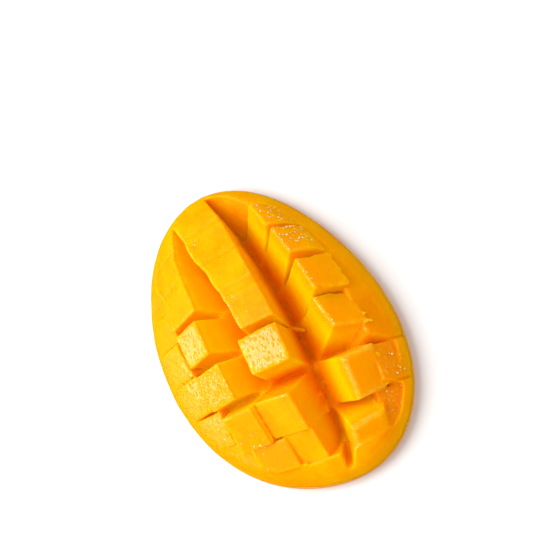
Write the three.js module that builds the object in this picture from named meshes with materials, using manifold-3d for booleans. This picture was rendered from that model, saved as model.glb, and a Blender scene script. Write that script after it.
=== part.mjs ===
// A mango cheek scored into cubes and turned inside out, lying on its peel.
// The cut face looks up. The peel was pushed up in the middle, so the blocks of flesh fan apart on it.
// Millimetres. +X runs along the cheek, +Y across it, +Z up. The origin is on the surface it lies on.
import * as THREE from 'three';
import { mergeVertices } from 'three/addons/utils/BufferGeometryUtils.js';
import Module from 'manifold-3d';

// Outline of the cheek, seen from above.
const halfLength = 59;
const halfWidth = 42.4;
const outlineSkew = 0.03; // one diagonal is fuller than the other by this share
const outlineEgg = 0.026; // the blunt end against the narrow end
const outlineBelly = 0.016; // the side towards -Y against the side towards +Y

// The peel: high in the middle, resting on a ring, turned up at the rim.
const domeRise = 7;
const ringShare = 0.74; // the ring's place on the way from the middle to the rim
const restFlat = 0.4; // how much of the ring is pressed flat
const floorThickness = 2.5; // peel and flesh left under the cuts
const rimThickness = 1.2;
const rimSlope = 58; // degrees, up and inwards from the rim
const innerSlope = 44; // degrees, past the uncut margin
const marginWidth = 3.2;
const marginFoot = 0.6; // from the end of the cuts to the margin's inner wall
const peelRings = [0.1, 0.2, 0.3, 0.4, 0.5, 0.57, 0.64, 0.69, 0.74, 0.79, 0.84];
const rimRing = 0.98;

// The cuts. Lengthwise cuts bow towards +Y, and crosswise cuts turn more and more towards the +X end.
const lengthCuts = [-17.2, -3, 9.5, 23.6];
const cutBow = 0.0023;
const bowCentre = -11;
const crossCuts = [-37.5, -25.2, -12.2, 1.6, 15.6, 29.2, 42.7];
const firstTurn = 0.08;
const turnStep = 0.024;

// The blocks. Leans are degrees from upright, of each strip towards +Y and of each row towards +X.
const fleshDepth = 25;
const depthWidth = 0.92; // the flesh thins out this much nearer than the rim, across the cheek
const stripLean = [-44, -32, 2, 43, 50];
const rowFade = [0.75, 0.95, 1, 1.03, 1, 0.88, 0.55, 0.3];
const rowLean = [-26, -21, -18, -10, -4, 18, 25, 32];
const stripShare = [0.3, 1, 1, 1.3, 0.6];
const rootSink = 0.2; // the blocks spring from a little below the floor
const rootDepth = 1.2; // how far a block reaches into the floor
const outerDrop = 4; // the outer blocks are this much lower, where the flesh thins towards the rim
const outerRootDepth = 6; // the outer blocks stand over the dip of the ring, and are trimmed to the peel
const rootSpread = 1.04; // neighbours overlap by this share of their width at the floor
const bottomSpread = 1.12; // and by this share at their bottoms
const leastHeight = 1; // of any edge of a block
const thinnestFlesh = 0.3; // as a share of fleshDepth
const overrun = 1.03; // how far the outer blocks reach, as a share of the way to the rim
const rimRootHeight = 0.3;
const trimInset = 0.4; // the outer blocks stay this far under the margin's slope
const trimRings = [0.25, 0.5, 0.74, 0.84];
const trimEnd = 0.985;
const cornerAlong = 0.8; // the corner blocks' direction from the middle
const cornerAcross = 0.64;

// Blocks that fingers pushed out of line: more lean along, more lean across, and extra height.
const nudges = {
  'strip1 row1': [-4, 0, 0],
  'strip1 row4': [6, 0, 0],
  'strip1 row5': [2, 0, 0],
  'strip1 row6': [-12, 6, 0],
  'strip2 row4': [0, -3, 1],
  'strip2 row5': [2, -23, 0],
  'strip2 row6': [0, -16, 0],
  'strip2 row7': [0, -6, 0],
  'strip3 row4': [-5, 0, 0],
  'strip3 row5': [3, 1, 0],
  'strip3 row6': [6, -7, 0],
};

const spokes = 72;
const crossingPasses = 20; // enough for two curved cuts to settle on their crossing
const stripCount = stripLean.length;
const rowCount = rowLean.length;
const radians = THREE.MathUtils.degToRad;

// How far the rim stands out from a plain ellipse, as a share. The angle is the ellipse's own.
function rimScale(angle) {
  const lopsided = outlineSkew * Math.sin(2 * angle) + outlineBelly * Math.sin(3 * angle);
  return 1 + lopsided - outlineEgg * Math.cos(3 * angle);
}

function rimPoint(angle) {
  const scale = rimScale(angle);
  return new THREE.Vector2(halfLength * scale * Math.cos(angle), halfWidth * scale * Math.sin(angle));
}

// A point's place on the way from the middle, 0, to the rim, 1.
function shareOf(spot) {
  const round = new THREE.Vector2(spot.x / halfLength, spot.y / halfWidth);
  return round.length() / rimScale(round.angle());
}

// Height of the peel's underside, where share runs from 0 in the middle to 1 at the rim.
function undersideAt(share) {
  const bend = 1 - (share / ringShare) ** 2;
  return Math.max(0, domeRise * bend * bend - restFlat);
}

function floorAt(share) {
  return undersideAt(share) + floorThickness;
}

// Height that the uncut margin and the outer blocks stay under, by the distance in from the rim.
function capAt(distance) {
  const onMargin = Math.min(distance, marginWidth);
  const pastMargin = distance - onMargin;
  const rise = onMargin * Math.tan(radians(rimSlope)) + pastMargin * Math.tan(radians(innerSlope));
  return undersideAt(1) + rimThickness + rise;
}

// A closed solid between two heights, over the outline. rings are shares of the way to the rim,
// or functions of the rim's radius that give one. firstSpoke turns the facets by part of a spoke.
function outlineSolid(rings, topAt, bottomAt, firstSpoke) {
  const positions = [0, 0, topAt(0, halfLength, 0), 0, 0, bottomAt(0)];
  const indices = [];
  const layerSize = rings.length * spokes;
  const top = (ring, spoke) => 2 + ring * spokes + (spoke % spokes);
  const bottom = (ring, spoke) => layerSize + top(ring, spoke);
  for (const heightAt of [topAt, bottomAt]) {
    rings.forEach((ring, ringIndex) => {
      for (let spoke = 0; spoke < spokes; spoke++) {
        const rim = rimPoint((2 * Math.PI * (spoke + firstSpoke)) / spokes);
        const share = typeof ring === 'function' ? ring(rim.length()) : ring;
        positions.push(share * rim.x, share * rim.y, heightAt(share, rim.length(), ringIndex));
      }
    });
  }
  const last = rings.length - 1;
  for (let spoke = 0; spoke < spokes; spoke++) {
    const next = spoke + 1;
    indices.push(0, top(0, spoke), top(0, next));
    indices.push(1, bottom(0, next), bottom(0, spoke));
    for (let ring = 0; ring < last; ring++) {
      const outer = ring + 1;
      addQuad(indices, top(ring, spoke), top(outer, spoke), top(outer, next), top(ring, next));
      addQuad(indices, bottom(ring, next), bottom(outer, next), bottom(outer, spoke), bottom(ring, spoke));
    }
    addQuad(indices, top(last, spoke), bottom(last, spoke), bottom(last, next), top(last, next));
  }
  return solidFrom(positions, indices);
}

function addQuad(indices, a, b, c, d) {
  indices.push(a, b, c, a, c, d);
}

function solidFrom(positions, indices) {
  const geometry = new THREE.BufferGeometry();
  geometry.setAttribute('position', new THREE.Float32BufferAttribute(positions, 3));
  geometry.setIndex(indices);
  const merged = mergeVertices(geometry, 1e-4);
  const vertProperties = new Float32Array(merged.attributes.position.array);
  const triVerts = new Uint32Array(merged.index.array);
  return new wasm.Manifold(new wasm.Mesh({ numProp: 3, vertProperties, triVerts }));
}

// The bent peel with its uncut margin of flesh standing up all round.
function peelAndMargin() {
  const marginStart = (radius) => 1 - marginWidth / radius;
  const cutEnd = (radius) => 1 - (marginWidth + marginFoot) / radius;
  const rings = [...peelRings, cutEnd, marginStart, rimRing, 1];
  const firstMarginRing = rings.indexOf(marginStart);
  const topAt = (share, radius, ring) => {
    return ring < firstMarginRing ? floorAt(share) : capAt((1 - share) * radius);
  };
  return outlineSolid(rings, topAt, undersideAt, 0);
}

// What the outer blocks are trimmed to.
function cap() {
  const bendAt = (radius) => 1 - (marginWidth - trimInset) / radius;
  const topAt = (share, radius) => capAt((1 - share) * radius) - trimInset;
  const bottomAt = (share) => undersideAt(share) + trimInset;
  return outlineSolid([...trimRings, bendAt, trimEnd], topAt, bottomAt, 0.5);
}

// Where lengthwise cut number strip crosses crosswise cut number row on the floor.
// The first and last of each are the rim, where no cut runs.
function cutCrossing(strip, row) {
  const side = { 0: -1, [stripCount]: 1 }[strip];
  const end = { 0: -1, [rowCount]: 1 }[row];
  const spot = new THREE.Vector2(0, 0);
  if (side && end) {
    spot.set(end * halfLength * cornerAlong, side * halfWidth * cornerAcross);
    return pastRim(spot);
  }
  for (let pass = 0; pass < crossingPasses; pass++) {
    if (!side) spot.y = lengthCuts[strip - 1] - cutBow * (spot.x - bowCentre) ** 2;
    if (!end) spot.x = crossCuts[row - 1] + (firstTurn + turnStep * (row - 1)) * spot.y;
    if (side) spot.y = side * halfWidth * Math.sqrt(1 - (spot.x / halfLength) ** 2);
    if (end) spot.x = end * halfLength * Math.sqrt(1 - (spot.y / halfWidth) ** 2);
  }
  if (side || end) return pastRim(spot);
  return new THREE.Vector3(spot.x, spot.y, floorAt(shareOf(spot)) - rootSink);
}

// The outer blocks run on a little past the rim, where the flesh has no height, before they are trimmed.
function pastRim(spot) {
  spot.multiplyScalar(overrun / shareOf(spot));
  return new THREE.Vector3(spot.x, spot.y, undersideAt(1) + rimRootHeight);
}

// One block of flesh: rooted in its patch of floor, then leaning, with its top square to the lean.
function block(strip, row, drop, depth) {
  const [moreAlong, moreAcross, moreHeight] = nudges[`strip${strip} row${row}`] ?? [0, 0, 0];
  const leanAlong = radians(rowLean[row] * stripShare[strip] + moreAlong);
  const leanAcross = radians(stripLean[strip] * rowFade[row] + moreAcross);
  const up = new THREE.Vector3(Math.tan(leanAlong), Math.tan(leanAcross), 1).normalize();
  const roots = [
    cutCrossing(strip, row),
    cutCrossing(strip, row + 1),
    cutCrossing(strip + 1, row + 1),
    cutCrossing(strip + 1, row),
  ];
  const middle = new THREE.Vector3();
  roots.forEach((root) => middle.addScaledVector(root, 1 / roots.length));
  const wanted = middle.dot(up) + fleshHeight(middle) + moreHeight - drop;
  const topLevel = Math.max(wanted, ...roots.map((root) => root.dot(up) + leastHeight));
  const tops = roots.map((root) => root.clone().addScaledVector(up, topLevel - root.dot(up)));
  const spreadRoots = roots.map((root) => root.clone().sub(middle).multiplyScalar(rootSpread).add(middle));
  const bottoms = roots.map((root) => root.clone().sub(middle).multiplyScalar(bottomSpread).add(middle));
  bottoms.forEach((bottom) => bottom.setZ(bottom.z - depth));
  return stackedSolid([bottoms, spreadRoots, tops]);
}

// A closed solid through layers of four corners each, from the lowest layer up.
function stackedSolid(layers) {
  const indices = [];
  addQuad(indices, 3, 2, 1, 0);
  for (let layer = 1; layer < layers.length; layer++) {
    for (let corner = 0; corner < 4; corner++) {
      const lower = 4 * (layer - 1) + corner;
      const nextLower = 4 * (layer - 1) + ((corner + 1) % 4);
      addQuad(indices, lower, nextLower, nextLower + 4, lower + 4);
    }
  }
  const roof = 4 * (layers.length - 1);
  addQuad(indices, roof, roof + 1, roof + 2, roof + 3);
  return solidFrom(layers.flat().flatMap((corner) => corner.toArray()), indices);
}

// How high the flesh stood above the floor before the cheek was turned inside out.
function fleshHeight(spot) {
  const shareSquared = (spot.x / halfLength) ** 2 + (spot.y / halfWidth / depthWidth) ** 2;
  const roundness = Math.sqrt(Math.max(0, 1 - shareSquared));
  return fleshDepth * Math.max(thinnestFlesh, roundness) - floorThickness;
}

function cheekGeometry() {
  const trim = cap();
  let cheek = peelAndMargin();
  for (let strip = 0; strip < stripCount; strip++) {
    for (let row = 0; row < rowCount; row++) {
      const outer = strip === 0 || strip === stripCount - 1 || row === 0 || row === rowCount - 1;
      const solid = outer ? block(strip, row, outerDrop, outerRootDepth) : block(strip, row, 0, rootDepth);
      cheek = cheek.add(outer ? solid.intersect(trim) : solid);
    }
  }
  const { vertProperties, triVerts } = cheek.getMesh();
  const geometry = new THREE.BufferGeometry();
  geometry.setAttribute('position', new THREE.BufferAttribute(vertProperties, 3));
  geometry.setIndex(new THREE.BufferAttribute(triVerts, 1));
  return geometry;
}

const wasm = await Module();
wasm.setup();

const cheek = new THREE.Mesh(
  cheekGeometry(),
  new THREE.MeshStandardMaterial({ color: 0xffb000, roughness: 0.4, metalness: 0 }),
);
cheek.name = 'mango_cheek';
cheek.geometry.computeBoundingBox();
const footprint = cheek.geometry.boundingBox.getCenter(new THREE.Vector3());
cheek.position.set(-footprint.x, -footprint.y, 0);

const mango = new THREE.Group();
mango.add(cheek);

export default mango;
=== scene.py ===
import math
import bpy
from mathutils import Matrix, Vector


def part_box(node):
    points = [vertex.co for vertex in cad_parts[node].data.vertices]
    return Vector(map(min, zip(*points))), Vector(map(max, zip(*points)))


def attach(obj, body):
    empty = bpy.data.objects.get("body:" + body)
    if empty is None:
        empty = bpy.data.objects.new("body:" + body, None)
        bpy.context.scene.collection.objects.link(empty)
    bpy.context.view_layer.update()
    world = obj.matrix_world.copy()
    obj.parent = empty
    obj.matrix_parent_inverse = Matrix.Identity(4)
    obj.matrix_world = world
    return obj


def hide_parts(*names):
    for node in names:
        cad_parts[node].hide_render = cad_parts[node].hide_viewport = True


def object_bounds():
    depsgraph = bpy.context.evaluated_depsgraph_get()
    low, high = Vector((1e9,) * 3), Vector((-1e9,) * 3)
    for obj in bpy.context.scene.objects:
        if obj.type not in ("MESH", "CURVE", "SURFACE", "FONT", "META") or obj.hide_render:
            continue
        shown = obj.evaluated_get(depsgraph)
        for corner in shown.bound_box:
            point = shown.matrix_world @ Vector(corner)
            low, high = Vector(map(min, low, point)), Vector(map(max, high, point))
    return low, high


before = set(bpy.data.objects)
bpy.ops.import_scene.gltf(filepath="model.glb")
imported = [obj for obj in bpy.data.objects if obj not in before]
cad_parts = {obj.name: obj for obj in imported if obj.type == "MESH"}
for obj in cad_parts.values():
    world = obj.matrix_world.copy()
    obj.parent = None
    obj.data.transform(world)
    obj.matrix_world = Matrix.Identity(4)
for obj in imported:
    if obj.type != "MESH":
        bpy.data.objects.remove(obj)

from types import SimpleNamespace

import bpy
import numpy as np
import openvdb
from mathutils import Matrix, Vector
from mathutils.bvhtree import BVHTree

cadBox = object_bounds()
nodeLow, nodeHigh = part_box("mango_cheek")

# Lengths are in millimetres and angles in degrees until a mesh is made, then everything is in metres.
metre = 0.001
farAway = 99


def linked(name, data):
    made = bpy.data.objects.new(name, data)
    bpy.context.collection.objects.link(made)
    return made


def readPoints(mesh):
    places = np.empty(3 * len(mesh.vertices), np.float32)
    mesh.vertices.foreach_get("co", places)
    return places.reshape(-1, 3)


def shadeSmooth(mesh):
    mesh.polygons.foreach_set("use_smooth", np.ones(len(mesh.polygons), bool))
    mesh.update()


# 0 at low and before it, 1 at high and past it, straight in between
def fade(value, low, high):
    return np.clip((value - low) / (high - low), 0, 1)


# the greater of two distances, with a rounded edge where they meet
def smoothMax(a, b, width):
    closeness = np.maximum(width - np.abs(a - b), 0) / width
    return np.maximum(a, b) + closeness * closeness * width / 4


def smoothMin(a, b, width):
    return -smoothMax(-a, -b, width)


# a material's nodes: inputs are given by name, or by number after an underscore
class Tree:
    def __init__(self, name):
        self.material = bpy.data.materials.new(name)
        self.material.use_nodes = True
        self.nodes = self.material.node_tree.nodes
        self.links = self.material.node_tree.links
        self.nodes.clear()

    def add(self, kind, settings=None, **inputs):
        made = self.nodes.new("ShaderNode" + kind)
        for name, value in (settings or {}).items():
            setattr(made, name, value)
        for name, value in inputs.items():
            socket = made.inputs[int(name[1:])] if name[0] == "_" else made.inputs[name.replace("_", " ")]
            if isinstance(value, bpy.types.NodeSocket):
                self.links.new(value, socket)
            else:
                socket.default_value = value
        return made

    def math(self, operation, a, b):
        return self.add("Math", {"operation": operation}, _0=a, _1=b).outputs[0]

    def mix(self, share, a, b):
        return self.add("Mix", {"data_type": "RGBA"}, _0=share, _6=a, _7=b).outputs[2]

    def ramp(self, value, low, high):
        made = self.add("MapRange", {"interpolation_type": "SMOOTHSTEP"}, _0=value, _1=low, _2=high)
        return made.outputs[0]

    # the piece's own coordinates in millimetres, which stretch makes tighter or longer
    def millimetres(self, stretch=(1, 1, 1)):
        place = self.add("TexCoord").outputs["Object"]
        scale = tuple(share / metre for share in stretch)
        return self.add("VectorMath", {"operation": "MULTIPLY"}, _0=place, _1=scale).outputs[0]

    def noise(self, place, scale, detail, **inputs):
        return self.add("TexNoise", None, Vector=place, Scale=scale, Detail=detail, **inputs).outputs[0]

    def attribute(self, name):
        return self.add("Attribute", {"attribute_name": name}).outputs["Fac"]

    def finish(self, **inputs):
        shader = self.add("BsdfPrincipled", None, **inputs)
        self.add("OutputMaterial", None, Surface=shader.outputs[0])
        return self.material


# the bent peel that everything stands on, the same law as the frame's solid
peel = {
    "halfLength": 59,
    "halfWidth": 42.4,
    "skew": 0.03,                   # one diagonal fuller than the other
    "egg": 0.026,                   # blunt end against narrow end
    "belly": 0.016,
    "domeRise": 7,                  # pushed up in the middle
    "ringShare": 0.74,              # it rests on a ring this far out
    "restFlat": 0.4,
    "thickness": 0.9,
    "spokes": 300,
    "rimSamples": 721,
    "rings": ((0.012, 0.7, 90), (0.706, 0.94, 36), (0.946, 0.998, 10)),   # from, to, how many
    "creaseDepth": 0.22,            # the skin folds a little under every cut
    "creaseWidth": 1.1,
    "waviness": 0.18,
    "waveAlong": (0.31, 1.3, 0.17),
    "waveAcross": (0.37, 0.9, 0.21),
    "wavyAbove": 2.5,               # flat where it rests, as wavy as it gets from this height on
    "lipOut": 0.15,
    "lipUp": 0.1,
    "sunny": (1.0, 0.38, 0.002, 1),
    "ripe": (0.95, 0.3, 0.001, 1),
    "dot": (1.0, 0.5, 0.03, 1),
    "blotchScale": 0.06,
    "blotchEdge": (0.4, 0.62),
    "dotScale": 0.55,
    "dotEdge": (0.26, 0.14),
    "fineScale": 2.2,
    "fineBump": 0.4,
    "dotBump": 0.5,
    "bumpStrength": 0.35,
    "bumpDepth": 0.0002,
}


def rimScale(angle):
    lopsided = peel["skew"] * np.sin(2 * angle) + peel["belly"] * np.sin(3 * angle)
    return 1 + lopsided - peel["egg"] * np.cos(3 * angle)


def rimPoint(angle):
    scale = rimScale(angle)
    return peel["halfLength"] * scale * np.cos(angle), peel["halfWidth"] * scale * np.sin(angle)


def ellipseAngle(x, y):
    return np.arctan2(y / peel["halfWidth"], x / peel["halfLength"])


# 0 in the middle, 1 at the rim
def shareAt(x, y):
    return np.hypot(x / peel["halfLength"], y / peel["halfWidth"]) / rimScale(ellipseAngle(x, y))


def undersideAt(share):
    bend = 1 - (share / peel["ringShare"]) ** 2
    return np.maximum(0, peel["domeRise"] * bend * bend - peel["restFlat"])


# how far in from the rim
def distanceIn(x, y):
    return (1 - shareAt(x, y)) * np.hypot(*rimPoint(ellipseAngle(x, y)))


# what moves a place of this law, in metres, to where the frame's solid stands
def frameShift():
    rim = np.array(rimPoint(np.linspace(0, 2 * math.pi, peel["rimSamples"])))
    rimCentre = (rim.min(1) + rim.max(1)) / 2
    shift = np.array((nodeLow + nodeHigh) / 2) - np.append(rimCentre, 0) * metre
    shift[2] = nodeLow.z
    return shift


def placeInFrame(mesh, places):
    places = places * metre + frameShift().astype(places.dtype)
    mesh.vertices.foreach_set("co", places.ravel())
    shadeSmooth(mesh)


def cutCreases(x, y):
    nearest = np.full(x.shape, float(farAway))
    for number in range(len(flesh["lengthwise"])):
        nearest = np.minimum(nearest, np.abs(pastLengthwise(number, x, y)))
    for number in range(len(flesh["crosswise"])):
        nearest = np.minimum(nearest, np.abs(pastCrosswise(number, x, y)))
    return np.exp(-(nearest / peel["creaseWidth"]) ** 2)


# a thin closed shell: rings of its outer side, one round the lip, and rings of its inner side
def makePeel():
    spokes = peel["spokes"]
    shares = np.concatenate([np.linspace(*part) for part in peel["rings"]])
    angles = np.linspace(0, 2 * math.pi, spokes, endpoint=False)
    rimX, rimY = rimPoint(angles)
    x, y = np.outer(shares, rimX), np.outer(shares, rimY)
    rise = np.broadcast_to(undersideAt(shares)[:, None], x.shape)
    along, bendAlong, turnAlong = peel["waveAlong"]
    across, bendAcross, turnAcross = peel["waveAcross"]
    wave = np.sin(x * along + bendAlong * np.sin(y * turnAlong))
    wave = wave * np.sin(y * across + bendAcross * np.sin(x * turnAcross))
    folds = peel["creaseDepth"] * cutCreases(x, y) + peel["waviness"] * wave
    under = np.maximum(rise + fade(rise, 0, peel["wavyAbove"]) * folds, 0)

    lean = np.arctan(np.gradient(rise, shares, axis=0) / np.hypot(rimX, rimY))
    inward = 1 - peel["thickness"] * np.sin(np.maximum(lean, 0)) / np.hypot(x, y)
    insideX, insideY = x * inward, y * inward
    inside = under + peel["thickness"] * np.cos(lean)
    lipX, lipY = (x[-1] + insideX[-1]) / 2, (y[-1] + insideY[-1]) / 2
    lipZ = (under[-1] + inside[-1]) / 2 + peel["lipUp"]
    outward = 1 + peel["lipOut"] / np.hypot(lipX, lipY)
    rings = np.concatenate([
        np.stack([x, y, under], -1),
        np.stack([lipX * outward, lipY * outward, lipZ], -1)[None],
        np.stack([insideX, insideY, inside], -1)[::-1],
    ])
    first, last = np.array([[0, 0, under[0].mean()]]), np.array([[0, 0, inside[0].mean()]])
    places = np.concatenate([first, rings.reshape(-1, 3), last])
    faces = []
    lastRing = 1 + (len(rings) - 1) * spokes
    for spoke in range(spokes):
        after = (spoke + 1) % spokes
        faces.append((0, 1 + after, 1 + spoke))
        faces.append((len(places) - 1, lastRing + spoke, lastRing + after))
        for ring in range(len(rings) - 1):
            a, b = 1 + ring * spokes, 1 + (ring + 1) * spokes
            faces.append((a + spoke, a + after, b + after, b + spoke))
    mesh = bpy.data.meshes.new("mango_peel")
    mesh.from_pydata(places.tolist(), [], faces)
    placeInFrame(mesh, places)
    piece = linked("mango_peel", mesh)
    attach(piece, "root")
    print("peel made:", len(faces), "faces")
    return piece


def peelMaterial():
    tree = Tree("mango_peel")
    place = tree.millimetres()
    blotch = tree.noise(place, peel["blotchScale"], 4.0)
    dots = tree.add("TexVoronoi", None, Vector=place, Scale=peel["dotScale"]).outputs["Distance"]
    fine = tree.noise(place, peel["fineScale"], 3.0)
    colour = tree.mix(tree.ramp(blotch, *peel["blotchEdge"]), peel["sunny"], peel["ripe"])
    colour = tree.mix(tree.ramp(dots, *peel["dotEdge"]), colour, peel["dot"])
    height = tree.math("ADD", tree.math("MULTIPLY", fine, peel["fineBump"]),
                       tree.math("MULTIPLY", dots, peel["dotBump"]))
    bump = tree.add("Bump", None, Height=height, Strength=peel["bumpStrength"], Distance=peel["bumpDepth"])
    return tree.finish(Base_Color=colour, Roughness=0.38, Normal=bump.outputs[0], IOR=1.45,
                       Subsurface_Weight=0.6, Subsurface_Radius=(1.0, 0.4, 0.06), Subsurface_Scale=0.0015,
                       Coat_Weight=0.3, Coat_Roughness=0.25)


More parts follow.
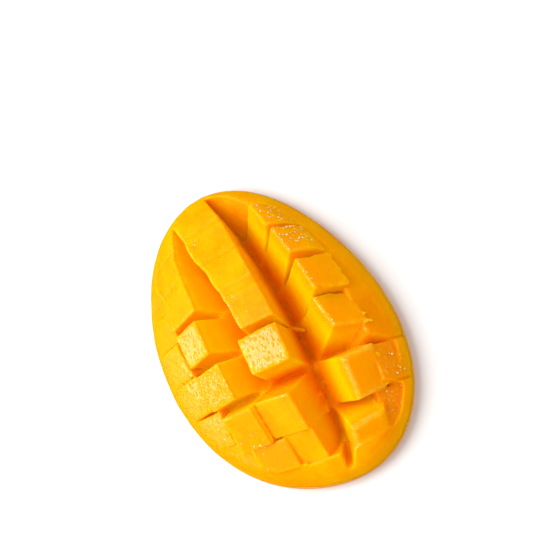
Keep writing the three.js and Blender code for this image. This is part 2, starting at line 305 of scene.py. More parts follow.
# everything that grew on the peel; where a key is a pair, it is the strip and the row of a block
flesh = {
    # the bed under the cuts, and the uncut margin round it
    "bedThickness": 2.5,
    "rimThickness": 1.2,
    "rimSlope": 58,
    "innerSlope": 44,
    "marginWidth": 3.2,
    "rimInset": 0.5,
    "sunk": 0.65,                   # its underside lies this far into the peel, as a share
    "ridgeHeight": 0.5,             # torn fibres along the bottom of the gaps
    "ridgeSteps": (7, 1.4, 3),
    "ridgeMiddle": 0.4,
    "lumpHeight": 0.55,             # lumps low in one gap
    "lumpStep": 1.5,
    "lumpRarity": 0.3,
    "lumpTop": (14, 10),
    "tornGap": 2,
    "tornWidth": 2.5,
    "tornStart": (-15, 5),
    "tornEnd": (40, 30),
    # where the knife went
    "lengthwise": [-17.2, -3, 9.5, 23.6],
    "bow": 0.0023,
    "bowCentre": -11,
    "crosswise": [-37.5, -25.2, -12.2, 1.6, 15.6, 29.2, 42.7],
    "firstTurn": 0.08,
    "turnStep": 0.024,
    "overrun": 1.03,
    "cornerAlong": 0.8,
    "cornerAcross": 0.64,
    # two of the cuts run out over the edge on the steep side
    "longCuts": (4, 5),
    "notchDepth": 1.8,
    "notchFrom": (15, 23),
    "notchLean": 0.08,
    "notchLevel": 8,
    "notchShift": 2.2,
    "notchSteepness": 0.5,
    # how each block leans and how high it stands
    "fleshDepth": 25,
    "depthWidth": 0.92,
    "leastRoundness": 0.09,
    "stripLean": [-44, -32, 2, 43, 50],
    "rowFade": [0.75, 0.95, 1, 1.03, 1, 0.88, 0.55, 0.3],
    "rowLean": [-26, -21, -18, -10, -4, 18, 25, 26],
    "stripShare": [0.2, 1, 1, 1.3, 0.6],
    "outerDrop": 0.5,
    "flushDrop": 0.2,               # the first strip lies level with its neighbour
    "trimInset": 0.15,
    "highest": 30.95,               # nothing stands above this
    # more lean along, more lean across, more height
    "nudges": {
        (0, 1): (0, 0, 0.9),
        (0, 2): (0, 0, 0.5),
        (0, 3): (0, 0, 0.5),
        (1, 1): (-4, 0, 0),
        (1, 4): (6, 0, 0),
        (1, 5): (2, 0, 0),
        (1, 6): (-6, 4, -0.8),
        (2, 3): (0, 0, 0.4),
        (2, 4): (0, -3, 1),
        (2, 5): (2, -23, 0),
        (2, 6): (0, -21, -1.3),
        (2, 7): (0, -6, 0),
        (3, 0): (0, 18, 0),
        (3, 3): (-2, 0, 0),
        (3, 4): (-8, 0, 0),
        (3, 5): (2, 0, 0),
        (3, 6): (9, -7, 0),
        (4, 3): (0, 0, -1.2),
        (4, 4): (0, 0, -2),
        (4, 5): (0, 0, -0.9),
        (4, 6): (0, 0, -0.6),
    },
    # added to a block's sides: towards -y, +x, +y and -x
    "wider": {
        (0, 7): (1, 1, 1, 2),
        (1, 2): (0, 0, 1.3, 0),
        (1, 3): (-0.8, 0, 0, 0),
        (1, 5): (0, 0, 0, 1.5),
        (1, 6): (0, 0, 0, -0.8),
        (1, 7): (1, 1, 1, 2),
        (2, 0): (2.8, 0, 0, 0),
        (2, 1): (3.6, 0, 0, 0),
        (2, 2): (1.6, 0, 0, 0),
        (2, 4): (2, 0, 0, 0),
        (2, 5): (2.2, 0, 0, 1),
        (2, 6): (0.5, 0, -0.6, 1.6),
        (2, 7): (1, 1, 0, 1),
        (3, 1): (0, 0, 0, -0.5),
        (3, 5): (0.3, 0, 0, 2.2),
        (3, 6): (0, 5.5, 0, 0),
        (3, 7): (0, 1, 1, 2),
        (4, 0): (2.5, 0, 0, 0),
        (4, 1): (2.5, 0, 0, 0),
        (4, 2): (2.5, 0, 0, 0),
        (4, 3): (3, 0, 0, 0),
        (4, 4): (4, 2.6, 0, 0),
        (4, 5): (3, 1.8, 0, -2),
        (4, 6): (1.5, 4, 0, -1.2),
        (4, 7): (1, 1, 1, 3),
    },
    # stretches that bent without opening: strip, first row and last row
    "stretches": [(0, 0, 2), (1, 0, 2), (2, 0, 3), (4, 0, 4)],
    # blocks that pass smoothly into the uncut margin
    "merged": [(3, 0), (4, 0), (4, 5), (4, 6), (0, 7), (1, 7), (2, 7), (3, 7), (4, 7)],
    # for each strip, how far its blocks were never quite parted towards their feet, and up to what height
    "footJoin": (3.2, 9, 3.2, 3.2, 3.2),
    "footHeight": (10, 16, 10, 10, 10),
    "leastJoin": 0.1,
    # how the knife's work looks from near
    "topRound": 0.8,                # how soft the edges are
    "softEdges": {(3, 4): 1.3, (3, 5): 2.2, (3, 6): 2.4},
    "wallRound": 0.7,
    "warp": 0.3,                    # how far the cuts wander
    "warpStep": 16,
    "ripple": 0.1,
    "rippleStep": 5,
    "grain": 0.035,
    "grainStep": 1.3,
    "chip": 0.5,                    # crumbs missing along the top edges
    "chipStep": 1.6,
    "chipRarity": 0.9,
    "chipReach": 1.2,
    "chipSpread": 0.5,
    "ragged": 0.35,                 # crumbly edges on the far side of one strip
    "raggedStrip": 3,
    "raggedFrom": (24, 28),
    "lineDepth": 0.3,               # shallow knife lines where blocks stay together
    "lineWidth": 0.35,
    "lineReach": 2,
    "lineSpacing": 12,
    # flesh left in the cuts, its half thickness and points: a strand across a gap, and two shallower cuts
    "strands": [
        (0.62, [(-3.6, 6.9, 15.5), (-1, 7.9, 13.4), (1.2, 8.8, 12.6), (3.3, 10.6, 12.8), (5.3, 12.7, 13.6)]),
        (1.6, [(10.9, -35, 9.5), (11.6, -31, 11.2), (12.3, -26, 12.4), (13, -20, 11.6), (13.8, -12, 9.5)]),
        (2, [(40, 3.4, 1.5), (46, 2.3, 4.6), (53, 0.8, 8.6)]),
    ],
    # shreds on the far edges: strip, row, how far along, how long
    "shreds": [
        (3, 2, 0.93, 1.0),
        (3, 2, 1.0, 1.3),
        (3, 3, 0.05, 0.9),
        (3, 3, 0.5, 0.5),
        (3, 4, 0.75, 0.8),
        (3, 4, 0.98, 1.2),
        (3, 5, 0.15, 0.6),
        (3, 1, 0.9, 0.6),
        (3, 5, 0.9, 0.4),
    ],
    "shredThickness": 0.4,
    "shredRoot": (0.8, 0.5),
    "shredBend": 0.35,
    "shredTip": (0.8, 0.25, 0.5),
    "strandJoin": 0.4,
    # how round the places are where parts of the flesh meet
    "bedRound": 0.5,
    "fillet": 0.9,
    "filletFrom": (2, 6),
    "leastFillet": 0.1,
    "marginRound": 1.2,
    "mergedRound": 1.5,
    "notchRound": 0.3,
    "marginJoin": 0.25,
    "tipJoin": 2.2,
    "tipAlong": (34, 40),
    "tipAcross": (6, 10),
    "undersideRound": 0.3,
    "overhangSlope": 0.8,
    "overhangFrom": 4,
    "overhangRound": 0.1,
    "rimRound": 0.8,
    "highestRound": 0.5,
    # how much juice stands on a block's top, and how much of it stays on the upper edges, from 0 to 1 or more
    "wetTops": {
        (0, 3): 0.6,
        (0, 4): 0.7,
        (0, 5): 0.7,
        (0, 6): 0.5,
        (1, 3): 0.8,
        (1, 4): 0.45,
        (2, 4): 0.85,
        (4, 5): 0.3,
        (4, 6): 0.35,
    },
    "wetEdges": {(3, 4): 0.7, (3, 5): 1.2, (3, 6): 1.5, (3, 7): 1.4},
    "wetEdge": 0.5,
    "filmInset": 1.6,
    "filmDepth": 1.4,
    "filmFrom": (2.5, 5.5),
    "edgeFilmFrom": (6, 11),
    # how much painted light brightens the cut sides of each strip, then the same near the tip: the most lit
    # ones also get a paler band of painted light
    "wallLight": [0.8, 1, 0.15, 0.7, 0.3],
    "tipWallLight": [0.3, 0.3, 0.15, 0.85, 0.3],
    "tipRow": 6,
    "endWallLight": 0.8,
    "strandWallLight": 0.3,
    # how far down the strand and the gap floors count, which sets how much shade is painted on them
    "strandDepth": 15,
    "bedDepth": 20,
    "emptyDistance": 3,
    "depthFrom": (2, 4),
    "edgeWidth": 7,
    # where shade is painted on the steep side's slope, under the blocks that stand over it
    "shadeAcross": (14, 17),
    "shadeInward": (1.5, 3.5),
    "shadeAlong": (2, 8),
    "shadeLeast": 0.2,
    # the grid it is worked out on, and the mesh
    "reach": ((-62, 62), (-45, 45), (-1.2, 34)),
    "voxel": 0.4,
    "band": 2.0,
    "padding": 5,
    "strandPadding": 3,
    "triangles": 190000,
    "normalStep": 0.25,
    # colours and finish
    "sunny": (1.0, 0.44, 0.0, 1),
    "ripe": (1.0, 0.35, 0.0, 1),
    "side": (0.95, 0.41, 0.0, 1),
    # the cut sides' colour where painted light brightens them
    "litSide": (1.0, 0.58, 0.0, 1),
    # painted light: the paler band just under the top edges of the most lit sides
    "litThrough": (1.0, 0.7, 0.0, 1),
    # painted shade: the dark orange deep in the gaps
    "deepShade": (1.0, 0.27, 0.0, 1),
    # painted shade: deeper orange towards the left side and near the rim there
    "leftRimShade": (1.0, 0.29, 0.0, 1),
    # painted shade on the steep side's slope
    "steepShade": (0.8, 0.25, 0.0, 1),
    # the film of juice, paled as a painted sheen
    "juice": (1.0, 0.66, 0.12, 1),
    "fibreStretch": (0.1, 0.9, 0.9),
    "blotchScale": 0.11,
    "fineScale": 0.9,
    "ragScale": 0.95,               # the film of juice has ragged edges
    "ragStrength": 2.6,
    "wetFrom": (0.02, 0.2),
    "filmEdge": (0.4, 0.54),
    "pitStretch": (0.5, 1.1, 0.8),  # and leaves small pits dry
    "pitSwirl": 1.8,
    "swirlScale": 0.8,
    "pitScale": 0.85,
    "pitEdge": (0.35, 0.43),
    "blotchShare": 0.8,
    "fibreShare": 0.2,
    "acrossShare": 0.006,
    "ripeFrom": (0.3, 0.7),
    "leftFrom": (-4.0, -18.0),
    "leftShadeShare": 0.55,
    "rimFrom": (22.0, 6.0),
    "rimShadeShare": 0.4,
    "steepShadeShare": 0.6,
    "sideFrom": (1.0, 7.0),
    "litFrom": (0.4, 1.8),
    "litUntil": (7.0, 2.0),
    "litWallLight": (0.82, 1.0),
    "litShare": 0.6,
    "deepShadeFrom": (8.0, 19.0),
    "juiceSheenShare": 0.22,
    "scatter": (1.0, 0.65, 0.04),
    "scatterScale": 0.0065,
    "filmRoughness": 0.16,
    "roughFrom": (0.3, 0.7),
    "smoothest": 0.36,
    "roughest": 0.55,
    "fineBump": 0.8,
    "filmBump": 0.05,
    "fibreBump": 0.5,
    "bumpStrength": 0.45,
    "bumpDepth": 0.0004,
}
stripCount = len(flesh["stripLean"])
rowCount = len(flesh["rowLean"])


# how far past a cut a place lies
def pastLengthwise(number, x, y):
    return y - flesh["lengthwise"][number] + flesh["bow"] * (x - flesh["bowCentre"]) ** 2


def pastCrosswise(number, x, y):
    return x - flesh["crosswise"][number] - (flesh["firstTurn"] + flesh["turnStep"] * number) * y


# the height of the uncut margin, and of the slope that goes on inwards from it
def capAt(distance):
    onMargin = np.minimum(distance, flesh["marginWidth"])
    steep = math.tan(math.radians(flesh["rimSlope"]))
    gentle = math.tan(math.radians(flesh["innerSlope"]))
    foot = undersideAt(1) + flesh["rimThickness"]
    return foot + onMargin * steep + (distance - onMargin) * gentle


# where two cuts cross on the bed, or where one runs out past the rim
def crossing(strip, row):
    side = {0: -1, stripCount: 1}.get(strip)
    end = {0: -1, rowCount: 1}.get(row)
    x = y = 0.0
    if side and end:
        x = end * peel["halfLength"] * flesh["cornerAlong"]
        y = side * peel["halfWidth"] * flesh["cornerAcross"]
    else:
        for _ in range(20):  # enough for two curved cuts to settle
            if not side:
                y = flesh["lengthwise"][strip - 1] - flesh["bow"] * (x - flesh["bowCentre"]) ** 2
            if not end:
                x = flesh["crosswise"][row - 1] + (flesh["firstTurn"] + flesh["turnStep"] * (row - 1)) * y
            if side:
                y = side * peel["halfWidth"] * math.sqrt(1 - (x / peel["halfLength"]) ** 2)
            if end:
                x = end * peel["halfLength"] * math.sqrt(1 - (y / peel["halfWidth"]) ** 2)
    if side or end:
        outward = flesh["overrun"] / shareAt(x, y)
        x, y = x * outward, y * outward
    return np.array([x, y, undersideAt(shareAt(x, y)) + flesh["bedThickness"]])


def blockRoots(strip, row):
    corners = [(strip, row), (strip, row + 1), (strip + 1, row + 1), (strip + 1, row)]
    return [crossing(*corner) for corner in corners]


def fleshHeight(x, y):
    across = peel["halfWidth"] * flesh["depthWidth"]
    roundness = 1 - (x / peel["halfLength"]) ** 2 - (y / across) ** 2
    return flesh["fleshDepth"] * math.sqrt(max(flesh["leastRoundness"], roundness)) - flesh["bedThickness"]


# the direction a block stands in, and how far along it the top face lies
def blockTop(strip, row):
    moreAlong, moreAcross, moreHeight = flesh["nudges"].get((strip, row), (0, 0, 0))
    along = flesh["rowLean"][row] * flesh["stripShare"][strip] + moreAlong
    if strip == 0:
        inner, innerLevel = blockTop(1, row)
        up = np.array([math.tan(math.radians(along)), inner[1] / inner[2], 1])
        up /= np.linalg.norm(up)
        shared = (crossing(1, row) + crossing(1, row + 1)) / 2
        shared = shared + inner * (innerLevel - shared @ inner)
        return up, shared @ up - flesh["flushDrop"] + moreHeight
    across = flesh["stripLean"][strip] * flesh["rowFade"][row] + moreAcross
    up = np.array([math.tan(math.radians(along)), math.tan(math.radians(across)), 1])
    up /= np.linalg.norm(up)
    middle = sum(blockRoots(strip, row)) / 4
    outer = strip == stripCount - 1 or row in (0, rowCount - 1)
    drop = flesh["outerDrop"] if outer else 0
    return up, middle @ up + fleshHeight(middle[0], middle[1]) + moreHeight - drop


def blockTopCorners(strip, row):
    up, topLevel = blockTop(strip, row)
    return [root + up * (topLevel - root @ up) for root in blockRoots(strip, row)]


# signed distances from a block's four sides, -y, +x, +y and -x, and from its top
def blockSides(strip, row, place):
    up, topLevel = blockTop(strip, row)
    roots = blockRoots(strip, row)
    wider = flesh["wider"].get((strip, row), (0, 0, 0, 0))
    sides = []
    for root, nextRoot, extra in zip(roots, roots[1:] + roots[:1], wider):
        normal = np.cross(nextRoot - root, up)
        normal /= np.linalg.norm(normal)
        sides.append(sum(part * share for part, share in zip(place, normal)) - root @ normal - extra)
    sides.append(sum(part * share for part, share in zip(place, up)) - topLevel)
    return sides


# every block or stretch of blocks: strip, first row and last row
def blockList():
    bent = [(strip, row) for strip, first, last in flesh["stretches"] for row in range(first, last + 1)]
    return flesh["stretches"] + [(strip, row, row) for strip in range(stripCount) for row in range(rowCount)
                                 if (strip, row) not in bent]


# a block or a bent stretch of them: how far it is to the walls and to the top, and to a knife line
def blockDistances(strip, first, last, place):
    parts = [blockSides(strip, row, place) for row in range(first, last + 1)]
    passed = 0
    for _, end, _, start, _ in parts:
        behind = np.maximum(-start, 0)
        passed = passed + behind / (behind + np.maximum(-end, 0) + 1e-6)
    inside = np.clip(passed - 0.5, 0, last - first)
    near = far = top = 0
    for index, sides in enumerate(parts):
        weight = np.maximum(0, 1 - np.abs(inside - index))
        for _ in range(2):
            weight = weight * weight * (3 - 2 * weight)
        near = near + weight * sides[0]
        far = far + weight * sides[2]
        top = top + weight * sides[4]
    line = np.full(np.shape(passed), float(farAway))
    for index in range(1, len(parts)):
        line = np.minimum(line, flesh["lineSpacing"] * np.abs(passed - index))
    walls = smoothMax(smoothMax(near, far, flesh["wallRound"]),
                      smoothMax(parts[0][3], parts[-1][1], flesh["wallRound"]), flesh["wallRound"])
    return walls, top, line


# smooth random values, one lattice point for every step along each axis
def softNoise(axes, steps, seed):
    weights = []
    for axis, step in zip(axes, steps):
        place = (axis - axis[0]) / step
        cell = np.floor(place).astype(int)
        t = place - cell
        weight = np.zeros((len(axis), cell[-1] + 4), np.float32)
        rows = np.arange(len(axis))
        weight[rows, cell] = (1 - t) ** 3 / 6
        weight[rows, cell + 1] = (3 * t ** 3 - 6 * t ** 2 + 4) / 6
        weight[rows, cell + 2] = (-3 * t ** 3 + 3 * t ** 2 + 3 * t + 1) / 6
        weight[rows, cell + 3] = t ** 3 / 6
        weights.append(weight)
    lattice = np.random.default_rng(seed).standard_normal([w.shape[1] for w in weights])
    value = np.tensordot(weights[0], lattice.astype(np.float32), (1, 0))
    value = np.tensordot(value, weights[1], (1, 1))
    return 2 * np.tensordot(value, weights[2], (1, 1))


# the part of the grid that lies round some points
def gridPart(axes, points, padding):
    low, high = np.min(points, 0) - padding, np.max(points, 0) + padding
    return tuple(slice(*np.searchsorted(axis, (a, b))) for axis, a, b in zip(axes, low, high))


# the strands, and the shreds that stick out from the blocks' far top edges
def strandList():
    found = [(thickness, np.array(points)) for thickness, points in flesh["strands"]]
    for strip, row, share, length in flesh["shreds"]:
        up, _ = blockTop(strip, row)
        tops = blockTopCorners(strip, row)
        base = tops[3] + (tops[2] - tops[3]) * share
        outward = (tops[3] - tops[0]) / np.linalg.norm(tops[3] - tops[0])
        along = (tops[2] - tops[3]) / np.linalg.norm(tops[2] - tops[3])
        rootIn, rootDown = flesh["shredRoot"]
        tipOut, tipUp, tipAlong = flesh["shredTip"]
        places = [base - rootIn * outward - rootDown * up, base + flesh["shredBend"] * length * outward,
                  base + length * (tipOut * outward + tipUp * up + tipAlong * along)]
        found.append((flesh["shredThickness"], np.array(places)))
    return found


# the grid that the flesh is worked out on, with the heights and the noise that go with its places
def makeGrid():
    # a little more than the reach, so that the last step counts in
    axes = [np.arange(low, high + 0.01, flesh["voxel"], dtype=np.float32) for low, high in flesh["reach"]]
    x, y, z = np.meshgrid(*axes, indexing="ij", sparse=True)
    distance = distanceIn(x, y)
    underside = undersideAt(shareAt(x, y))
    slope = np.hypot(*np.gradient(underside[:, :, 0], flesh["voxel"]))[:, :, None]
    capHeight = capAt(distance)
    capNormal = np.where(distance < flesh["marginWidth"], math.cos(math.radians(flesh["rimSlope"])),
                         math.cos(math.radians(flesh["innerSlope"])))
    return SimpleNamespace(
        axes=axes, x=x, y=y, z=z,
        distance=distance,
        underside=underside,
        flatten=1 / np.sqrt(1 + slope ** 2),
        capHeight=capHeight,
        overCap=(z - capHeight) * capNormal,
        trimmed=(z - capHeight + flesh["trimInset"]) * capNormal,
        warps=[flesh["warp"] * softNoise(axes, [flesh["warpStep"]] * 3, seed) for seed in (1, 2, 3)],
        ripple=flesh["ripple"] * softNoise(axes, [flesh["rippleStep"]] * 3, 4),
        grain=flesh["grain"] * softNoise(axes, [flesh["grainStep"]] * 3, 5),
        chips=softNoise(axes, [flesh["chipStep"]] * 3, 6),
        ridges=np.abs(softNoise(axes, flesh["ridgeSteps"], 7)),
        lumps=np.maximum(0, softNoise(axes, [flesh["lumpStep"]] * 3, 8) - flesh["lumpRarity"]),
    )


# signed distances to one block or stretch, how deep under its cut face each place lies, and the same for
# what the colour goes by: the film of juice and how much painted light brightens the cut sides
def shapeBlock(grid, cut, strip, first, last):
    place = (grid.x[cut[0]] + grid.warps[0][cut], grid.y[:, cut[1]] + grid.warps[1][cut],
             grid.z[:, :, cut[2]] + grid.warps[2][cut])
    chips = grid.chips[cut]
    walls, top, line = blockDistances(strip, first, last, place)
    outer = strip in (0, stripCount - 1) or first == 0 or last == rowCount - 1
    trim = grid.trimmed[cut] if outer else np.full_like(top, -farAway)
    depth = -np.maximum(top, trim)
    rounding = flesh["softEdges"].get((strip, first), flesh["topRound"])
    corner = np.maximum(0, 1 - np.hypot(depth, walls) / (flesh["chipReach"] + flesh["chipSpread"] * rounding))
    block = smoothMax(walls, top, rounding)
    block += flesh["chip"] * corner * np.maximum(0, chips - flesh["chipRarity"])
    if strip == flesh["raggedStrip"]:
        block += flesh["ragged"] * corner * chips * fade(place[1], *flesh["raggedFrom"])
    knifeLine = np.exp(-(line / flesh["lineWidth"]) ** 2) * fade(top, -flesh["lineReach"], 0)
    block += flesh["lineDepth"] * knifeLine
    block = smoothMax(block, trim, flesh["topRound"])

    fromRim = grid.distance[cut[0], cut[1]]
    film = fade(walls, 0, -flesh["filmInset"]) * np.clip(flesh["filmDepth"] - np.abs(depth), 0, 1)
    film = film * fade(fromRim, *flesh["filmFrom"]) * flesh["wetTops"].get((strip, first), 0)
    edgeFilm = corner * fade(fromRim, *flesh["edgeFilmFrom"])
    edgeFilm = edgeFilm * flesh["wetEdges"].get((strip, first), flesh["wetEdge"])
    # painted light on the cut sides, more of it on the end walls
    clear = flesh["wallLight" if first < flesh["tipRow"] else "tipWallLight"][strip]
    if first < rowCount - 1:
        end = np.clip(1 + blockSides(strip, last, place)[1] - walls, 0, 1)
        clear = clear + (flesh["endWallLight"] - clear) * end
    return block, {"depth": depth, "wet": np.maximum(film, edgeFilm), "clear": clear}


# the blocks, some of them free and some passing into the margin; facts are filled in as they are made
def standBlocks(grid, facts):
    shape = grid.overCap.shape
    standing = np.full(shape, flesh["emptyDistance"], np.float32)
    merged = np.full(shape, flesh["emptyDistance"], np.float32)
    aboveBed = grid.z - grid.underside - flesh["bedThickness"]
    for strip, first, last in blockList():
        corners = []
        for row in range(first, last + 1):
            corners += blockRoots(strip, row) + blockTopCorners(strip, row)
        cut = gridPart(grid.axes, corners, flesh["padding"])
        block, blockFacts = shapeBlock(grid, cut, strip, first, last)
        nearer = block < np.minimum(standing[cut], merged[cut])
        for name, values in blockFacts.items():
            facts[name][cut] = np.where(nearer, values, facts[name][cut])
        into = merged if strip == stripCount - 1 or (strip, first) in flesh["merged"] else standing
        unparted = np.clip(1 - aboveBed[cut] / flesh["footHeight"][strip], 0, 1)
        into[cut] = smoothMin(into[cut], block, flesh["leastJoin"] + flesh["footJoin"][strip] * unparted)
    print("blocks joined")
    return standing, merged


def hangStrands(grid, standing, facts):
    for thickness, points in strandList():
        cut = gridPart(grid.axes, points, flesh["strandPadding"])
        place = (grid.x[cut[0]], grid.y[:, cut[1]], grid.z[:, :, cut[2]])
        for start, end in zip(points, points[1:]):
            step = end - start
            along = sum((part - a) * b for part, a, b in zip(place, start, step)) / (step @ step)
            along = np.clip(along, 0, 1)
            away = np.sqrt(sum((part - a - along * b) ** 2 for part, a, b in zip(place, start, step)))
            nearer = away - thickness < standing[cut]
            facts["depth"][cut] = np.where(nearer, flesh["strandDepth"], facts["depth"][cut])
            facts["clear"][cut] = np.where(nearer, flesh["strandWallLight"], facts["clear"][cut])
            standing[cut] = smoothMin(standing[cut], away - thickness, flesh["strandJoin"])
    print("strands hung")


# the uncut margin, with the blocks that pass into it and the two cuts that run out over it
def layMargin(grid, merged):
    margin = smoothMax(grid.overCap, grid.distance - flesh["marginWidth"], flesh["marginRound"])
    margin = smoothMin(margin, merged, flesh["mergedRound"])
    for number in flesh["longCuts"]:
        fromCut = pastCrosswise(number, grid.x, grid.y) - flesh["notchLean"] * (grid.z - flesh["notchLevel"])
        fromCut = fromCut - flesh["notchShift"] + grid.warps[0]
        over = grid.z - grid.capHeight + flesh["notchDepth"] * fade(grid.y, *flesh["notchFrom"])
        margin = smoothMax(margin, flesh["notchSteepness"] * over - np.abs(fromCut), flesh["notchRound"])
    return margin


# trimmed all round: lumps in the torn gap, the underside, the slope of the rim and the greatest height
def trimFlesh(grid, field):
    fromGap = pastLengthwise(flesh["tornGap"], grid.x, grid.y)
    torn = np.exp(-(fromGap / flesh["tornWidth"]) ** 2)
    torn = torn * fade(grid.x, *flesh["tornStart"]) * fade(grid.x, *flesh["tornEnd"])
    field = field - flesh["lumpHeight"] * grid.lumps * torn * fade(grid.z, *flesh["lumpTop"])
    bottom = (grid.underside + flesh["sunk"] * peel["thickness"] - grid.z) * grid.flatten
    field = smoothMax(field, bottom, flesh["undersideRound"])
    overhang = grid.overCap - flesh["overhangSlope"] * np.maximum(grid.distance - flesh["overhangFrom"], 0)
    field = smoothMax(field, overhang, flesh["overhangRound"])
    field = smoothMax(field, flesh["rimInset"] - grid.distance, flesh["rimRound"])
    field = smoothMax(field, grid.z - flesh["highest"], flesh["highestRound"])
    return field + (grid.ripple + grid.grain)


# signed distances to the whole flesh, and what its material goes by at each place: how deep under the cut
# face it lies, how wet it is, how much painted light its cut sides get, how near the rim it is and where
# shade is painted on the steep side
def fleshField():
    grid = makeGrid()
    floorTop = grid.underside + flesh["bedThickness"]
    floorTop = floorTop + flesh["ridgeHeight"] * (grid.ridges - flesh["ridgeMiddle"])
    field = smoothMax((grid.z - floorTop) * grid.flatten, grid.overCap, flesh["bedRound"])
    facts = {
        "depth": np.full(field.shape, flesh["bedDepth"], np.float32),
        "wet": np.zeros(field.shape, np.float32),
        "clear": np.zeros(field.shape, np.float32),
    }
    standing, merged = standBlocks(grid, facts)
    hangStrands(grid, standing, facts)
    margin = layMargin(grid, merged)

    depth = np.where(standing < field, facts["depth"], flesh["bedDepth"])
    fillet = flesh["fillet"] * np.maximum(fade(grid.distance, *flesh["filletFrom"]), flesh["leastFillet"])
    field = smoothMin(field, standing, fillet)
    depth = np.where(margin < field, 0, depth)
    tipJoin = flesh["tipJoin"] * fade(grid.x, *flesh["tipAlong"]) * fade(grid.y, *flesh["tipAcross"])
    field = smoothMin(field, margin, flesh["marginJoin"] + tipJoin)
    field = trimFlesh(grid, field)

    facts["depth"] = depth * fade(grid.distance, *flesh["depthFrom"])
    # how near the rim each place lies, which sets the painted shade along the rim
    nearRim = np.clip(1 - grid.distance / flesh["edgeWidth"], 0, 1)
    facts["edge"] = np.broadcast_to(nearRim, field.shape)
    # painted shade on the steep side's slope, where the margin passes under the blocks
    steep = fade(grid.y, *flesh["shadeAcross"]) * fade(grid.distance, *flesh["shadeInward"])
    steep = np.where(margin < standing, steep, 0)
    facts["steep"] = steep * np.maximum(fade(grid.x, *flesh["shadeAlong"]), flesh["shadeLeast"])
    return grid.axes, field, facts


# the grid's values at some points, straight in between its own
def sample(axes, values, points):
    cells, parts = [], []
    for axis, place in zip(axes, points.T):
        at = np.clip((place - axis[0]) / flesh["voxel"], 0, len(axis) - 1.001)
        cells.append(at.astype(int))
        parts.append(at - cells[-1])
    total = 0
    for corner in range(8):
        steps = [(corner >> bit) & 1 for bit in range(3)]
        weight = 1
        for part, step in zip(parts, steps):
            weight = weight * (part if step else 1 - part)
        total = total + weight * values[tuple(cell + step for cell, step in zip(cells, steps))]
    return total


# the points and faces of the biggest connected piece, without crumbs and bubbles
def biggestPiece(points, quads):
    label = np.arange(len(points))
    ends = np.stack([quads.ravel(), np.roll(quads, -1, axis=1).ravel()], 1)
    while True:
        lowest = np.minimum(label[ends[:, 0]], label[ends[:, 1]])
        before = label.copy()
        np.minimum.at(label, ends[:, 0], lowest)
        np.minimum.at(label, ends[:, 1], lowest)
        label = label[label]
        if (label == before).all():
            break
    kept = label == np.bincount(label).argmax()
    renumber = np.cumsum(kept) - 1
    return points[kept], renumber[quads[kept[quads[:, 0]]]]


def makeFlesh():
    axes, field, facts = fleshField()
    grid = openvdb.FloatGrid(flesh["band"])
    grid.copyFromArray(np.clip(field, -flesh["band"], flesh["band"]))
    grid.transform = openvdb.createLinearTransform(voxelSize=flesh["voxel"])
    points, quads = biggestPiece(*grid.convertToQuads())
    points = points + np.array([axis[0] for axis in axes], np.float32)
    print("flesh meshed:", len(quads), "faces")
    mesh = bpy.data.meshes.new("mango_flesh")
    mesh.from_pydata(points.tolist(), [], quads.tolist())
    piece = linked("mango_flesh", mesh)
    decimate = piece.modifiers.new("fewerFaces", "DECIMATE")
    decimate.ratio = min(1, flesh["triangles"] / (2 * len(quads)))
    graph = bpy.context.evaluated_depsgraph_get()
    mesh = bpy.data.meshes.new_from_object(piece.evaluated_get(graph))
    piece.modifiers.clear()
    piece.data = mesh

    # normals and facts come from the grid, finer than the faces show
    places = readPoints(mesh)
    slopes = []
    for axis in range(3):
        step = np.zeros(3, np.float32)
        step[axis] = flesh["normalStep"]
        slopes.append(sample(axes, field, places + step) - sample(axes, field, places - step))
    normals = np.stack(slopes, 1)
    normals /= np.linalg.norm(normals, axis=1, keepdims=True)
    for name, values in facts.items():
        attribute = mesh.attributes.new(name, "FLOAT", "POINT")
        attribute.data.foreach_set("value", sample(axes, values, places).astype(np.float32))
    placeInFrame(mesh, places)
    mesh.normals_split_custom_set_from_vertices(normals.tolist())
    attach(piece, "root")
    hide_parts("mango_cheek")
    print("flesh made")
    return piece


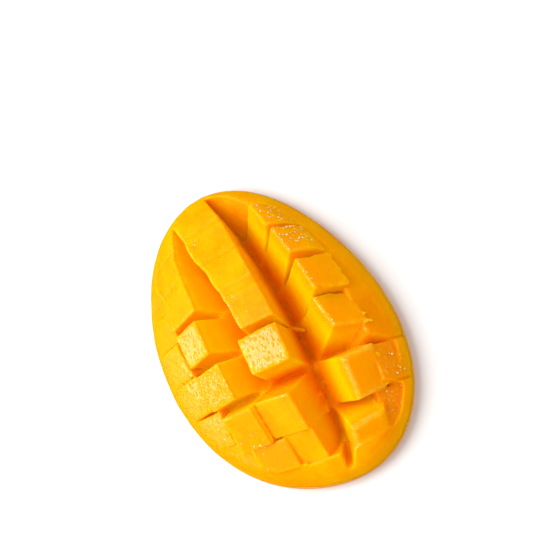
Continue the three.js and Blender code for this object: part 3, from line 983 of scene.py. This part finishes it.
def fleshMaterial():
    tree = Tree("mango_flesh")
    place = tree.millimetres()
    fibres = tree.noise(tree.millimetres(flesh["fibreStretch"]), 1.0, 3.0)
    blotch = tree.noise(place, flesh["blotchScale"], 3.0)
    fine = tree.noise(place, flesh["fineScale"], 4.0, Roughness=0.6)
    rag = tree.noise(place, flesh["ragScale"], 4.0, Roughness=0.6)
    across = tree.add("SeparateXYZ", None, Vector=place).outputs["Y"]
    depth, wet, edge = tree.attribute("depth"), tree.attribute("wet"), tree.attribute("edge")
    clear, steep = tree.attribute("clear"), tree.attribute("steep")

    swirl = tree.add("TexNoise", None, Vector=place, Scale=flesh["swirlScale"], Detail=2.0).outputs["Color"]
    swirl = tree.add("VectorMath", {"operation": "MULTIPLY_ADD"}, _0=swirl, _1=[flesh["pitSwirl"]] * 3,
                     _2=tree.millimetres(flesh["pitStretch"])).outputs[0]
    pits = tree.add("TexVoronoi", None, Vector=swirl, Scale=flesh["pitScale"]).outputs["Distance"]
    ragged = tree.math("MULTIPLY", tree.math("SUBTRACT", rag, 0.5), flesh["ragStrength"])
    film = tree.ramp(tree.math("ADD", wet, ragged), *flesh["filmEdge"])
    film = tree.math("MULTIPLY", film, tree.ramp(wet, *flesh["wetFrom"]))
    film = tree.math("MULTIPLY", film, tree.ramp(pits, *flesh["pitEdge"]))

    # the upper faces and the margin
    uneven = tree.math("ADD", tree.math("MULTIPLY", blotch, flesh["blotchShare"]),
                       tree.math("MULTIPLY", fibres, flesh["fibreShare"]))
    uneven = tree.math("ADD", uneven, tree.math("MULTIPLY", across, flesh["acrossShare"]))
    top = tree.mix(tree.ramp(uneven, *flesh["ripeFrom"]), flesh["sunny"], flesh["ripe"])
    # painted shade: darker towards the left side and near the rim there
    leftShade = tree.math("MULTIPLY", tree.ramp(across, *flesh["leftFrom"]), flesh["leftShadeShare"])
    nearRim = tree.math("MULTIPLY", edge, tree.ramp(across, *flesh["rimFrom"]))
    nearRim = tree.math("MULTIPLY", nearRim, flesh["rimShadeShare"])
    top = tree.mix(tree.math("ADD", leftShade, nearRim), top, flesh["leftRimShade"])
    # painted shade on the steep side's slope
    top = tree.mix(tree.math("MULTIPLY", steep, flesh["steepShadeShare"]), top, flesh["steepShade"])

    # deeper down the cut sides: brightened by painted light on the most lit sides, then darkened as painted
    # shade deep in the gaps
    # painted light: the cut sides turn paler where more light is painted on them
    side = tree.mix(clear, flesh["side"], flesh["litSide"])
    colour = tree.mix(tree.ramp(depth, *flesh["sideFrom"]), top, side)
    # painted light: a paler band just under the top edges of the sides with the most painted light
    lit = tree.math("MULTIPLY", tree.ramp(depth, *flesh["litFrom"]),
                    tree.ramp(depth, *flesh["litUntil"]))
    lit = tree.math("MULTIPLY", lit, tree.ramp(clear, *flesh["litWallLight"]))
    colour = tree.mix(tree.math("MULTIPLY", lit, flesh["litShare"]), colour, flesh["litThrough"])
    # painted shade deep in the gaps
    colour = tree.mix(tree.ramp(depth, *flesh["deepShadeFrom"]), colour, flesh["deepShade"])
    # painted sheen: paler where the film of juice stands, which is real wetness
    colour = tree.mix(tree.math("MULTIPLY", film, flesh["juiceSheenShare"]), colour, flesh["juice"])

    low, high = flesh["roughFrom"]
    roughness = tree.add("MapRange", None, _0=fine, _1=low, _2=high,
                         _3=flesh["smoothest"], _4=flesh["roughest"])
    height = tree.math("ADD", tree.math("MULTIPLY", fine, flesh["fineBump"]),
                       tree.math("MULTIPLY", film, flesh["filmBump"]))
    height = tree.math("ADD", height, tree.math("MULTIPLY", fibres, flesh["fibreBump"]))
    bump = tree.add("Bump", None, Height=height, Strength=flesh["bumpStrength"],
                    Distance=flesh["bumpDepth"])
    return tree.finish(Base_Color=colour, Roughness=roughness.outputs[0], Normal=bump.outputs[0], IOR=1.36,
                       Specular_IOR_Level=0.15, Subsurface_Weight=1.0, Subsurface_Radius=flesh["scatter"],
                       Subsurface_Scale=flesh["scatterScale"],
                       Coat_Weight=film, Coat_Roughness=flesh["filmRoughness"])


# small drops of juice that lie on the blocks
beads = {
    # strip, row, how many, and the part of the top they lie on: from and to along it, from and to across it
    "places": [
        (3, 1, 44, 0.1, 1, 0.1, 0.9),
        (3, 2, 50, 0, 0.7, 0.05, 0.95),
        (3, 2, 22, 0, 1, 0.01, 0.06),
        (2, 3, 5, 0.1, 0.9, 0.05, 0.9),
        (2, 1, 3, 0, 1, 0.02, 0.1),
        (2, 3, 6, 0, 1, 0.02, 0.1),
        (3, 3, 7, 0, 1, 0.02, 0.1),
        (3, 4, 8, 0, 1, 0.02, 0.1),
        (4, 5, 9, 0.3, 0.95, 0.3, 0.7),
        (4, 6, 14, 0.1, 0.7, 0.2, 0.7),
        (1, 5, 8, 0.1, 1, 0.1, 0.9),
        (0, 5, 6, 0.2, 1, 0.4, 1),
        (1, 6, 5, 0.1, 0.9, 0.1, 0.9),
    ],
    "smallest": 0.14,
    "biggest": 0.42,
    "mostlySmall": 2.5,
    "flatness": 0.62,
    "raised": 0.05,
    "rooted": 0.5,
    # how wide and how high each ring of a drop is, from its top down
    "profile": [(0.35, 0.97), (0.75, 0.74), (1.0, 0.3), (1.04, 0.0), (0.95, -0.35)],
    "spokes": 10,
    "dropFrom": 6,
    "seed": 11,
    "darker": (1.0, 0.62, 0.16, 1),
    "paler": (1.0, 0.76, 0.38, 1),
    "cloudScale": 0.7,
    "cloudEdge": (0.35, 0.65),
}


def makeBeads(fleshPiece):
    generator = np.random.default_rng(beads["seed"])
    shift = frameShift()
    surface = BVHTree.FromObject(fleshPiece, bpy.context.evaluated_depsgraph_get())
    spokes, flatness = beads["spokes"], beads["flatness"]
    lastRing = (len(beads["profile"]) - 1) * spokes
    places, faces = [], []
    for strip, row, count, fromAlong, toAlong, fromAcross, toAcross in beads["places"]:
        up, _ = blockTop(strip, row)
        tops = blockTopCorners(strip, row)
        for _ in range(count):
            along, across = generator.uniform((fromAlong, fromAcross), (toAlong, toAcross))
            near = tops[0] + (tops[1] - tops[0]) * along
            far = tops[3] + (tops[2] - tops[3]) * along
            above = (near + (far - near) * across + beads["dropFrom"] * up) * metre + shift
            hit, normal, _, _ = surface.ray_cast(Vector(above), Vector(-up))
            share = generator.random() ** beads["mostlySmall"]
            size = beads["smallest"] + (beads["biggest"] - beads["smallest"]) * share
            if hit is None:
                continue
            side = normal.orthogonal().normalized()
            other = normal.cross(side)
            first = len(places)
            centre = hit + normal * size * metre * beads["raised"]
            places.append(centre + normal * size * flatness * metre)
            for ring, height in beads["profile"]:
                for spoke in range(spokes):
                    angle = 2 * math.pi * spoke / spokes
                    out = side * math.cos(angle) + other * math.sin(angle)
                    places.append(centre + (out * ring + normal * height * flatness) * size * metre)
            places.append(centre - normal * size * beads["rooted"] * metre)
            for spoke in range(spokes):
                after = (spoke + 1) % spokes
                low = first + 1 + lastRing
                faces.append((first, first + 1 + spoke, first + 1 + after))
                faces.append((len(places) - 1, low + after, low + spoke))
                for a in range(first + 1, low, spokes):
                    b = a + spokes
                    faces.append((a + spoke, b + spoke, b + after, a + after))
    mesh = bpy.data.meshes.new("juice_beads")
    mesh.from_pydata([tuple(place) for place in places], [], faces)
    shadeSmooth(mesh)
    piece = linked("juice_beads", mesh)
    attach(piece, "root")
    print("beads made:", len(faces), "faces")
    return piece


def beadMaterial():
    tree = Tree("juice_beads")
    cloud = tree.noise(tree.millimetres(), beads["cloudScale"], 2.0)
    colour = tree.mix(tree.ramp(cloud, *beads["cloudEdge"]), beads["darker"], beads["paler"])
    return tree.finish(Base_Color=colour, Roughness=0.12, IOR=1.36,
                       Subsurface_Weight=0.5, Subsurface_Radius=(1.0, 0.7, 0.4), Subsurface_Scale=0.001,
                       Coat_Weight=1.0, Coat_Roughness=0.08)


# the floor, two soft lights and a white sky
room = {
    "floorSize": 6.0,
    "floorColour": (0.86, 0.86, 0.86, 1),
    "floorRoughness": 0.7,
    "skyColour": (1.0, 1.0, 1.0, 1),
    "skyStrength": 0.75,
    "skyMirrored": 0.03,
    # direction, distance, size, power
    "window": ((-0.2, -0.48, 0.85), 0.65, 0.55, 4.2),
    "sideLamp": ((-0.33, -0.92, 0.18), 0.7, 0.34, 0.85),
}


def makeFloor():
    half = room["floorSize"] / 2
    z = cadBox[0].z
    corners = [(-half, -half, z), (half, -half, z), (half, half, z), (-half, half, z)]
    mesh = bpy.data.meshes.new("floor")
    mesh.from_pydata(corners, [], [(0, 1, 2, 3)])
    floor = linked("floor", mesh)
    tree = Tree("floor")
    mesh.materials.append(tree.finish(Base_Color=room["floorColour"], Roughness=room["floorRoughness"]))
    floor.visible_glossy = False


def makeSoftbox(name):
    direction, distance, size, power = room[name]
    data = bpy.data.lights.new(name, "AREA")
    data.energy = power
    data.size = size
    light = linked(name, data)
    light.location = Vector(direction).normalized() * distance
    light.rotation_euler = Vector(direction).to_track_quat("Z", "Y").to_euler()


# the sky lights everything, but is hardly seen in the gloss
def makeSky():
    world = bpy.data.worlds.new("studio")
    world.use_nodes = True
    background = world.node_tree.nodes["Background"]
    background.inputs["Color"].default_value = room["skyColour"]
    path = world.node_tree.nodes.new("ShaderNodeLightPath")
    strength = world.node_tree.nodes.new("ShaderNodeMapRange")
    strength.inputs["To Min"].default_value = room["skyStrength"]
    strength.inputs["To Max"].default_value = room["skyMirrored"]
    world.node_tree.links.new(path.outputs["Is Glossy Ray"], strength.inputs["Value"])
    world.node_tree.links.new(strength.outputs["Result"], background.inputs["Strength"])
    bpy.context.scene.world = world


# the camera looks down on the cheek from above its blunt end
view = {
    "target": (0.0063, 0.0018, 0.007),
    "towardCamera": (0.252, 0.211, 0.944),
    "imageUp": (-0.8275, 0.5525, 0.0974),
    "distance": 0.52,
    "lens": 100,
    "sensor": 36,
    "shiftX": -0.0308,
    "shiftY": 0.1557,
}


def makeCamera():
    data = bpy.data.cameras.new("camera")
    data.lens = view["lens"]
    data.sensor_width = view["sensor"]
    data.shift_x = view["shiftX"]
    data.shift_y = view["shiftY"]
    camera = linked("camera", data)
    back = Vector(view["towardCamera"]).normalized()
    right = Vector(view["imageUp"]).cross(back).normalized()
    up = back.cross(right)
    turn = Matrix((right, up, back)).transposed()
    camera.matrix_world = Matrix.Translation(Vector(view["target"]) + back * view["distance"]) @ turn.to_4x4()
    bpy.context.scene.camera = camera


fleshPiece = makeFlesh()
fleshPiece.data.materials.append(fleshMaterial())
peelPiece = makePeel()
peelPiece.data.materials.append(peelMaterial())
beadPiece = makeBeads(fleshPiece)
beadPiece.data.materials.append(beadMaterial())
makeFloor()
makeSoftbox("window")
makeSoftbox("sideLamp")
makeSky()
makeCamera()
bpy.context.scene.view_settings.view_transform = "Standard"
print("room and camera made")
